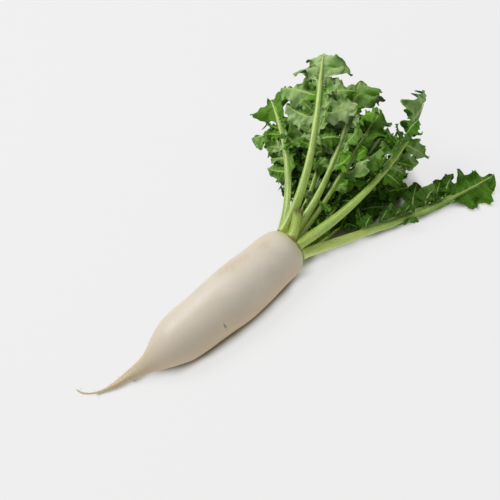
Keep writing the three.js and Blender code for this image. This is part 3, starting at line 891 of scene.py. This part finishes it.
# a closed sheet from its middle grid, with the veins standing out below
def sheetShell(points, flip, u, v, veins, midrib, tag, shaded):
    normal = np.cross(np.gradient(points, axis=0), np.gradient(points, axis=1))
    normal = normal / np.maximum(np.linalg.norm(normal, axis=-1, keepdims=True), 1e-9) * flip
    half = blades["thickness"] / 2 * (1 - 0.5 * np.abs(v) ** 4)
    groove = np.exp(-(v / 0.07) ** 2) * (1 - 0.85 * u)
    below = half + blades["veinHeight"] * veins + midrib * groove
    above = half - 0.5 * blades["veinHeight"] * veins - 0.3 * midrib * groove
    top = points + normal * above[..., None]
    bottom = points - normal * below[..., None]
    for face in (top, bottom):
        over = np.maximum(face[..., 2] - blades["ceiling"], 0)
        face[..., 2] += blades["headroom"] * np.tanh(over / blades["headroom"]) - over
    bottom[..., 2] = np.maximum(bottom[..., 2], blades["lowest"])
    rows, columns = u.shape
    count = rows * columns
    upper = gridFaces(rows, columns)
    lower = gridFaces(rows, columns, count)[:, ::-1]
    border = np.concatenate([np.arange(columns), np.arange(2, rows) * columns - 1,
                             np.arange(count - 1, count - columns - 1, -1),
                             np.arange(rows - 2, 0, -1) * columns])
    after = np.roll(border, -1)
    rim = np.stack([after, border, border + count, after + count], axis=1)
    faces = np.vstack([upper, lower, rim])
    if flip < 0:
        faces = faces[:, ::-1]
    place = np.stack([u, v, np.full(u.shape, tag)], axis=-1).reshape(-1, 3)
    side = np.zeros((2 * count, 3))
    side[count:, 0] = 1
    side[:, 1] = np.tile(veins.ravel(), 2)
    side[:, 2] = shaded
    return {"points": np.vstack([top.reshape(-1, 3), bottom.reshape(-1, 3)]), "faces": faces.tolist(),
            "values": {"place": np.vstack([place, place]), "side": side}}


def gridOf(size):
    return np.meshgrid(np.linspace(0, 1, size[0]), np.linspace(-1, 1, size[1]), indexing="ij")


# how much of the sky the solids hide from a place, 0 to 1
def shadeAt(place, solids):
    hidden = 0
    for k in range(sky["rays"]):
        rise = (k + 0.5) / sky["rays"]
        turn = sky["turn"] * k
        level = math.sqrt(1 - rise * rise)
        way = Vector((level * math.cos(turn), level * math.sin(turn), rise))
        hidden += solids.ray_cast(Vector(place * mm) + way * sky["start"], way, sky["reach"])[0] is not None
    return hidden / sky["rays"]


# leaves that lie high are paler, a painted sheen; the rest of the tone is drawn at random
def leafTone(height, draws):
    return float(np.clip(0.6 * draws.next() + 0.6 * (height / blades["paleHeight"] - 0.9), -1, 1))


# one leaflet, grown together with the edge of its rib
def leafletShell(rib, spec, surface, grid, draws, solids, size):
    u, v = gridOf(grid)
    half = spec["half"] * size
    edgeOut = teethAt(u, v, blades["teeth"], spec["phase"])
    middle = np.array([0.6]), np.array([0.0])
    facing = float((surface(*middle, lift=1.0) - surface(*middle))[0, 2])
    grown = surface(u, v, edgeOut, crumple(u, v, half, spec["length"] * size, draws, facing))
    place = spec["t"] + spec["grip"] * v
    base = rib.sheetPoint(place, np.full(u.shape, spec["side"] * (rib.wingHalf(spec["t"]) - 1.0)))
    base = base - rib.frame(place)[1] * 0.5
    grown = mix(base, grown, smooth(0, 1 / 6, u)[..., None])
    grown[..., 2] = np.maximum(grown[..., 2], blades["rest"])
    tag = leafTone(rib.point(spec["t"])[2], draws)
    heart = grown[len(grown) * 2 // 3, grown.shape[1] // 2]
    # painted shade: the share of sky that the solids hide, at least the leaf's inShade
    shaded = max(rib.leaf["inShade"], shadeAt(heart, solids))
    return sheetShell(grown, -spec["side"], u, v, veinsAt(u, v, blades["veins"]),
                      blades["midrib"] * min(1, half / 12), tag, shaded)


# smaller leaflets between the main ones, each hung where it is clear of everything laid so far
def fillLeaflets(rib, draws, taken):
    leaf = rib.leaf
    shells = []
    inner = leaf["width"] < 9
    low = 0.15 if inner else leaf["blade"] - 0.06
    high = leaf["fillTo"] or leaf["lobe"]
    count = int((high - low) * leaf["length"] / blades["fillStep"])
    for k in range(count):
        for side in (1, -1):
            share = draws.next() * 0.5 + 0.5
            t = low + (high - low) * (k + 0.5 + 0.35 * draws.next()) / count
            grown = min(1, 0.35 + (t - low) * 1.8)
            spec = {"side": side, "t": t, "grip": 0.012,
                    "spread": math.radians(70 + 18 * draws.next()),
                    "length": leaf["leaflet"][0] * mix(*blades["fillLength"], share) * grown,
                    "half": leaf["leaflet"][1] * mix(*blades["fillHalf"], share) * grown,
                    "sweep": 0.2 + 0.3 * draws.next(), "phase": 3 * draws.next(),
                    "cup": 0.2 * draws.next(), "ripple": 0.2 + 0.1 * draws.next()}
            turn = int(5 + 5 * draws.next())
            ways = fillHangs
            if side == leaf["bareSide"]:
                if k not in leaf["frontLeaflets"]:
                    continue
                spec.update(blades["front"])
                ways = frontHangs
            found = findRoom(rib, spec, turn, taken, ways)
            if found:
                surface, size, points = found
                taken["fill"].append(points)
                shells.append(leafletShell(rib, spec, surface, blades["fillGrid"], draws,
                                           taken["solids"], size))
    return shells


# the first way, from turn on, in which a small leaflet touches nothing
def findRoom(rib, spec, turn, taken, ways):
    u, v = np.meshgrid([0.3, 0.5, 0.75, 1.0], [-0.85, 0.0, 0.85], indexing="ij")
    leftMost = crownPoint[0] + blades["crownClear"]
    for size in fillSizes:
        for k in range(len(ways)):
            surface = leafletSurface(rib, spec, ways[(k + turn) % len(ways)], size)
            points = surface(u, v).reshape(-1, 3)
            low, high = points.min(axis=0), points.max(axis=0)
            if low[2] < blades["fillLow"] or high[2] > blades["ceiling"] or low[0] < leftMost:
                continue
            if taken["fill"]:
                others = np.vstack(taken["fill"])
                gaps = np.linalg.norm(others[None] - points[:, None], axis=-1)
                if gaps.min() < blades["fillApart"]:
                    continue
            clear = blades["fillClear"] * mm
            if all(taken["solids"].find_nearest(Vector(p * mm))[3] > clear for p in points):
                return surface, size, points
    return None


# every solid in one tree, to find what is near a point
def solidTree():
    points, faces = [], []
    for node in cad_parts.values():
        if getattr(node, "type", "") != "MESH":
            continue
        first = len(points)
        points += [node.matrix_world @ vertex.co for vertex in node.data.vertices]
        faces += [[first + k for k in face.vertices] for face in node.data.polygons]
    return BVHTree.FromPolygons(points, faces)


def makeBlade(number, rib, skin, taken):
    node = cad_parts[f"leaf_{number}_blade"]
    solid = BVHTree.FromObject(node, bpy.context.evaluated_depsgraph_get())
    leaf = rib.leaf
    lobe, specs = planLeaf(leaf)
    draws = Draws(leaf["seed"] + 500)

    # the wings along the rib
    u, v = gridOf(blades["wingGrid"])
    t = mix(leaf["blade"], leaf["lobe"] + 0.02, u)
    half = rib.wingHalf(t) - (1 - rib.slimness(t)) * rib.stalkWidth(t) / 2
    half = half * (1 + 0.12 * np.abs(v) ** 3 * lumps(t * 14, v, leaf["seed"], 4))
    wing = rib.sheetPoint(t, v * half) - rib.frame(t)[1] * (0.9 - 0.5 * v**2)[..., None]
    shells = [sheetShell(wing, 1, np.full(u.shape, 0.5), v, u * 0, 0.0, 0.5, 0.3)]

    # the last lobe
    u, v = gridOf(blades["lobeGrid"])
    depth = blades["lobeToothDepth"] * smooth(0.1, 0.5, u)
    edgeOut = teethAt(u, v, blades["lobeTeeth"], lobe["phase"], depth)
    reach = leaf["length"] * (1 - leaf["lobe"])
    facing = 0.4 * float(rib.frame(np.array(leaf["lobe"]))[1][2])
    lift = crumple(u, v, leaf["lobeHalf"], reach, draws, facing)
    tag = leafTone(rib.point(leaf["lobe"])[2], draws)
    grown = lobeSurface(rib, lobe)(u, v, edgeOut, lift)
    heart = grown[len(grown) // 2, grown.shape[1] // 2]
    # painted shade for the lobe, found the same way
    shaded = max(leaf["inShade"], shadeAt(heart, taken["solids"]))
    veins = veinsAt(u, v, blades["lobeVeins"])
    shells.append(sheetShell(grown, 1, u, v, veins, blades["lobeMidrib"], tag, shaded))

    # the leaflets
    kept = 0
    for spec in specs:
        found = findHang(rib, spec, solid)
        if found:
            surface, size = found
            kept += 1
            shells.append(leafletShell(rib, spec, surface, blades["leafletGrid"], draws,
                                       taken["solids"], size))
    fill = fillLeaflets(rib, draws, taken)
    print("blade", number, "has", kept, "leaflets of", len(specs), "and", len(fill), "small ones")
    return makePiece(f"blade_{number}", shells + fill, skin)


bladeColors = {
    "deep": (0.014, 0.066, 0.003),
    # the darker green of painted shade
    "inner": (0.011, 0.050, 0.003),
    "fresh": (0.12, 0.335, 0.008),
    "cool": (0.055, 0.19, 0.012),
    "vein": (0.44, 0.60, 0.17),
    "under": (0.113, 0.275, 0.018),
    "paleUnderAndSheen": (0.46, 0.61, 0.28),
    "underVivid": (0.10, 0.30, 0.005),
    "roughness": 0.42,
    "shine": 0.16,
    "shineTint": (0.8, 1.0, 0.5),
}


def bladeMaterial():
    skin = Skin("blade_skin", bladeColors)
    u, v, tag = skin.split(skin.value("place"))
    under, vein, shaded = skin.split(skin.value("side"))
    where = skin.node("ShaderNodeTexCoord").outputs["Object"]
    broad = skin.noise(where, 38.0, 3.0)
    fine = skin.noise(where, 420.0, 3.0)
    own = skin.timesPlus(tag, 0.5, 0.5)
    top = skin.blend(skin.between(broad, 0.35, 0.68), "deep", "fresh")
    top = skin.blend(skin.times(own, 0.7), top, "cool")
    # paler under sides: partly the leaves' own paler under side, partly a painted sheen that grows on the
    # leaves lying high
    paler = skin.times(skin.between(broad, 0.3, 0.65), skin.between(own, 0.35, 0.9))
    lower = skin.blend(paler, "under", "paleUnderAndSheen")
    lower = skin.blend(skin.times(skin.between(own, 0.42, 0.2), 0.85), lower, "underVivid")
    skin.color = skin.blend(under, top, lower)
    skin.lay("vein", skin.between(fine, 0.5, 0.75), 0.1)
    # painted shade: leaflets hidden from the sky, and the nearest leaf, are painted a darker green
    skin.lay("inner", skin.between(shaded, 0.3, 0.9), 0.65)
    patch = skin.between(skin.noise(where, 95.0, 2.0), 0.52, 0.36)
    skin.lay("deep", patch, 0.45)
    skin.lay("vein", skin.between(vein, 0.3, 1.0), 0.5)
    # a fine net between the veins
    cells = skin.node("ShaderNodeTexVoronoi", {"Vector": where, "Scale": 380.0}, feature="DISTANCE_TO_EDGE")
    net = skin.between(cells.outputs["Distance"], 0.10, 0.0)
    skin.lay("vein", net, 0.12)
    # the midrib, narrower towards the tip
    off = skin.math("DIVIDE", skin.math("ABSOLUTE", v), skin.timesPlus(u, -0.08, 0.13))
    skin.lay("vein", skin.between(off, 1.0, 0.5), 0.88)
    normal = skin.bump(fine, 0.0005, 0.5)
    normal = skin.bump(net, 0.0003, -0.4, normal)
    normal = skin.bump(vein, 0.0005, 0.4, normal)
    rough = skin.timesPlus(under, 0.14, bladeColors["roughness"])
    skin.shader.inputs["Specular IOR Level"].default_value = bladeColors["shine"]
    skin.shader.inputs["Specular Tint"].default_value = (*bladeColors["shineTint"], 1)
    return skin.finish(rough, normal, 0.12, 0.0012, (0.5, 1.0, 0.12))


stalkSkin = stalkMaterial("stalk_skin")
bladeSkin = bladeMaterial()
taken = {"solids": solidTree(), "fill": []}
grown = [rootPiece, rootletPiece]
for number, leaf in enumerate(leaves, 1):
    rib = Rib(leaf)
    stalk = makeStalk(number, rib, stalkSkin)
    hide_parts(f"leaf_{number}_stalk")
    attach(stalk, "root")
    blade = makeBlade(number, rib, bladeSkin, taken)
    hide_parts(f"leaf_{number}_blade")
    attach(blade, "root")
    grown += [stalk, blade]
broken = makeBrokenStalk(stalkMaterial("broken_stalk_skin", brokenStalk["length"] * mm))
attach(broken, "root")
grown.append(broken)
print("leaves made")


# the table, a wide pale sheet that glows a little, with a painted shadow: it glows less and takes a darker,
# tinted colour where the radish touches it or hides most of the sky

table = {
    "reach": 6000, "nearReach": 1200, "step": 3, "margin": 60,
    "color": (0.13, 0.13, 0.13), "shade": (0.52, 0.49, 0.35), "fleck": (0.2, 0.2, 0.2),
    "glow": 0.722, "roughness": 0.75, "shine": 0.1,
    "rootLow": 16, "rootTouch": (1.3, 5.5), "thinLow": 12, "thinTouch": (0.5, 4),
    "tailFrom": -128, "tailTo": -166, "cover": (0.72, 0.45), "soften": 5,
}


def pointsOf(piece):
    points = np.empty(len(piece.data.vertices) * 3)
    piece.data.vertices.foreach_get("co", points)
    return points.reshape(-1, 3) / mm


# the points below a height of the pieces whose names start with one of some words
def lowPoints(words, pieces, height):
    points = np.vstack([pointsOf(piece) for piece in pieces if piece.name.startswith(tuple(words))])
    return points[points[:, 2] < height]


def nearest(points, places):
    tree = KDTree(len(points))
    for i, point in enumerate(points.tolist()):
        tree.insert(point, i)
    tree.balance()
    return np.array([tree.find(place)[2] for place in places.tolist()])


# a field averaged with its neighbours a few times
def soften(field, times):
    for _ in range(times):
        padded = np.pad(field, 1, mode="edge")
        field = (padded[:-2, 1:-1] + padded[2:, 1:-1] + padded[1:-1, :-2] + padded[1:-1, 2:] + field) / 5
    return field


# how clear of the radish each place of the table lies, 0 to 1, which sets the table's painted shadow
def clearness(places, shape, pieces, solids):
    low = lowPoints(["daikon_root"], pieces, table["rootLow"])
    low = low[low[:, 0] > table["tailTo"]]
    isTail = low[:, 0] < table["tailFrom"]
    thin = np.vstack([low[isTail], lowPoints(["stalk", "blade", "broken"], pieces, table["thinLow"])])
    cover = [shadeAt(place, solids) if abs(place[0]) < table["nearReach"] else 0 for place in places]
    cover = soften(np.array(cover).reshape(shape), table["soften"]).ravel()
    return (smooth(*table["rootTouch"], nearest(low[~isTail], places))
            * smooth(*table["thinTouch"], nearest(thin, places)) * smooth(*table["cover"], cover))


def makeTable(pieces, solids):
    near, past = [np.array(corner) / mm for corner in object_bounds()]
    wide = [-table["reach"], -table["nearReach"]], [table["nearReach"], table["reach"]]
    x, y = [np.concatenate([wide[0], np.arange(near[k] - table["margin"], past[k] + table["margin"],
                                               table["step"]), wide[1]]) for k in range(2)]
    shape = len(x), len(y)
    places = np.stack([*np.meshgrid(x, y, indexing="ij"), np.zeros(shape)], axis=-1).reshape(-1, 3)
    mesh = bpy.data.meshes.new("table")
    mesh.from_pydata((places * mm).tolist(), [], gridFaces(*shape).tolist())
    clear = clearness(places, shape, pieces, solids)
    mesh.attributes.new("clear", "FLOAT", "POINT").data.foreach_set("value", clear)
    sheet = addObject("table", mesh)
    skin = Skin("table_paper", table)
    inOpen = skin.node("ShaderNodeAttribute", attribute_name="clear").outputs["Fac"]
    # painted shadow: darker and tinted where the table is not clear
    skin.color = skin.blend(inOpen, "shade", "color")
    skin.lay("fleck", skin.noise(skin.node("ShaderNodeTexCoord").outputs["Object"], 300.0, 2.0), 0.04)
    skin.put(skin.shader.inputs["Base Color"], skin.color)
    skin.put(skin.shader.inputs["Emission Strength"], skin.times(inOpen, table["glow"]))
    skin.shader.inputs["Roughness"].default_value = table["roughness"]
    skin.shader.inputs["Specular IOR Level"].default_value = table["shine"]
    skin.shader.inputs["Emission Color"].default_value = (1, 1, 1, 1)
    mesh.materials.append(skin.material)
    sheet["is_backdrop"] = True


makeTable(grown, taken["solids"])


# soft studio light: one broad lamp high on the far left, a weaker one past the leaves, and a pale room

lights = {
    "key": {"place": (-0.7, 1.6, 3.6), "size": 2.4, "power": 112},
    "fill": {"place": (1.6, -0.2, 2.8), "size": 1.6, "power": 12},
    "room": 0.34,
    "backdrop": 0.8,
    "aim": (0.08, 0.02, 0.02),
}


def makeLamp(name):
    lamp = bpy.data.lights.new(name, "AREA")
    lamp.size = lights[name]["size"]
    lamp.energy = lights[name]["power"]
    thing = addObject(name, lamp)
    thing.location = lights[name]["place"]
    thing.rotation_euler = (thing.location - Vector(lights["aim"])).to_track_quat("Z", "Y").to_euler()


makeLamp("key")
makeLamp("fill")
world = bpy.data.worlds.new("room")
world.use_nodes = True
room = world.node_tree.nodes["Background"]
room.inputs["Color"].default_value = (1.0, 1.0, 1.0, 1)
# the room looks as pale as the table where it is seen, and lights the leaves less than that
seen = world.node_tree.nodes.new("ShaderNodeLightPath")
strength = world.node_tree.nodes.new("ShaderNodeMapRange")
strength.inputs["To Min"].default_value = lights["room"]
strength.inputs["To Max"].default_value = lights["backdrop"]
world.node_tree.links.new(seen.outputs["Is Camera Ray"], strength.inputs["Value"])
world.node_tree.links.new(strength.outputs["Result"], room.inputs["Strength"])
bpy.context.scene.world = world
bpy.context.scene.view_settings.view_transform = "Standard"
print("table and lights made")


# the camera looks down from the front left and is tilted

camera = {"azimuth": -28.15, "elevation": 40, "roll": 20.56, "lens": 60, "distance": 1004.6,
          "target": (75.4, 39.3, 32)}


def makeCamera():
    azimuth, elevation, roll = [math.radians(camera[k]) for k in ("azimuth", "elevation", "roll")]
    back = Vector((math.sin(azimuth) * math.cos(elevation), -math.cos(azimuth) * math.cos(elevation),
                   math.sin(elevation)))
    right = Vector((math.cos(azimuth), math.sin(azimuth), 0))
    upward = back.cross(right)
    x = right * math.cos(roll) - upward * math.sin(roll)
    y = right * math.sin(roll) + upward * math.cos(roll)
    view = bpy.data.cameras.new("camera")
    view.lens = camera["lens"]
    view.clip_end = 30
    thing = addObject("camera", view)
    place = Vector(camera["target"]) * mm + back * camera["distance"] * mm
    turn = Matrix((x, y, back)).transposed().to_4x4()
    thing.matrix_world = Matrix.Translation(place) @ turn
    bpy.context.scene.camera = thing


makeCamera()
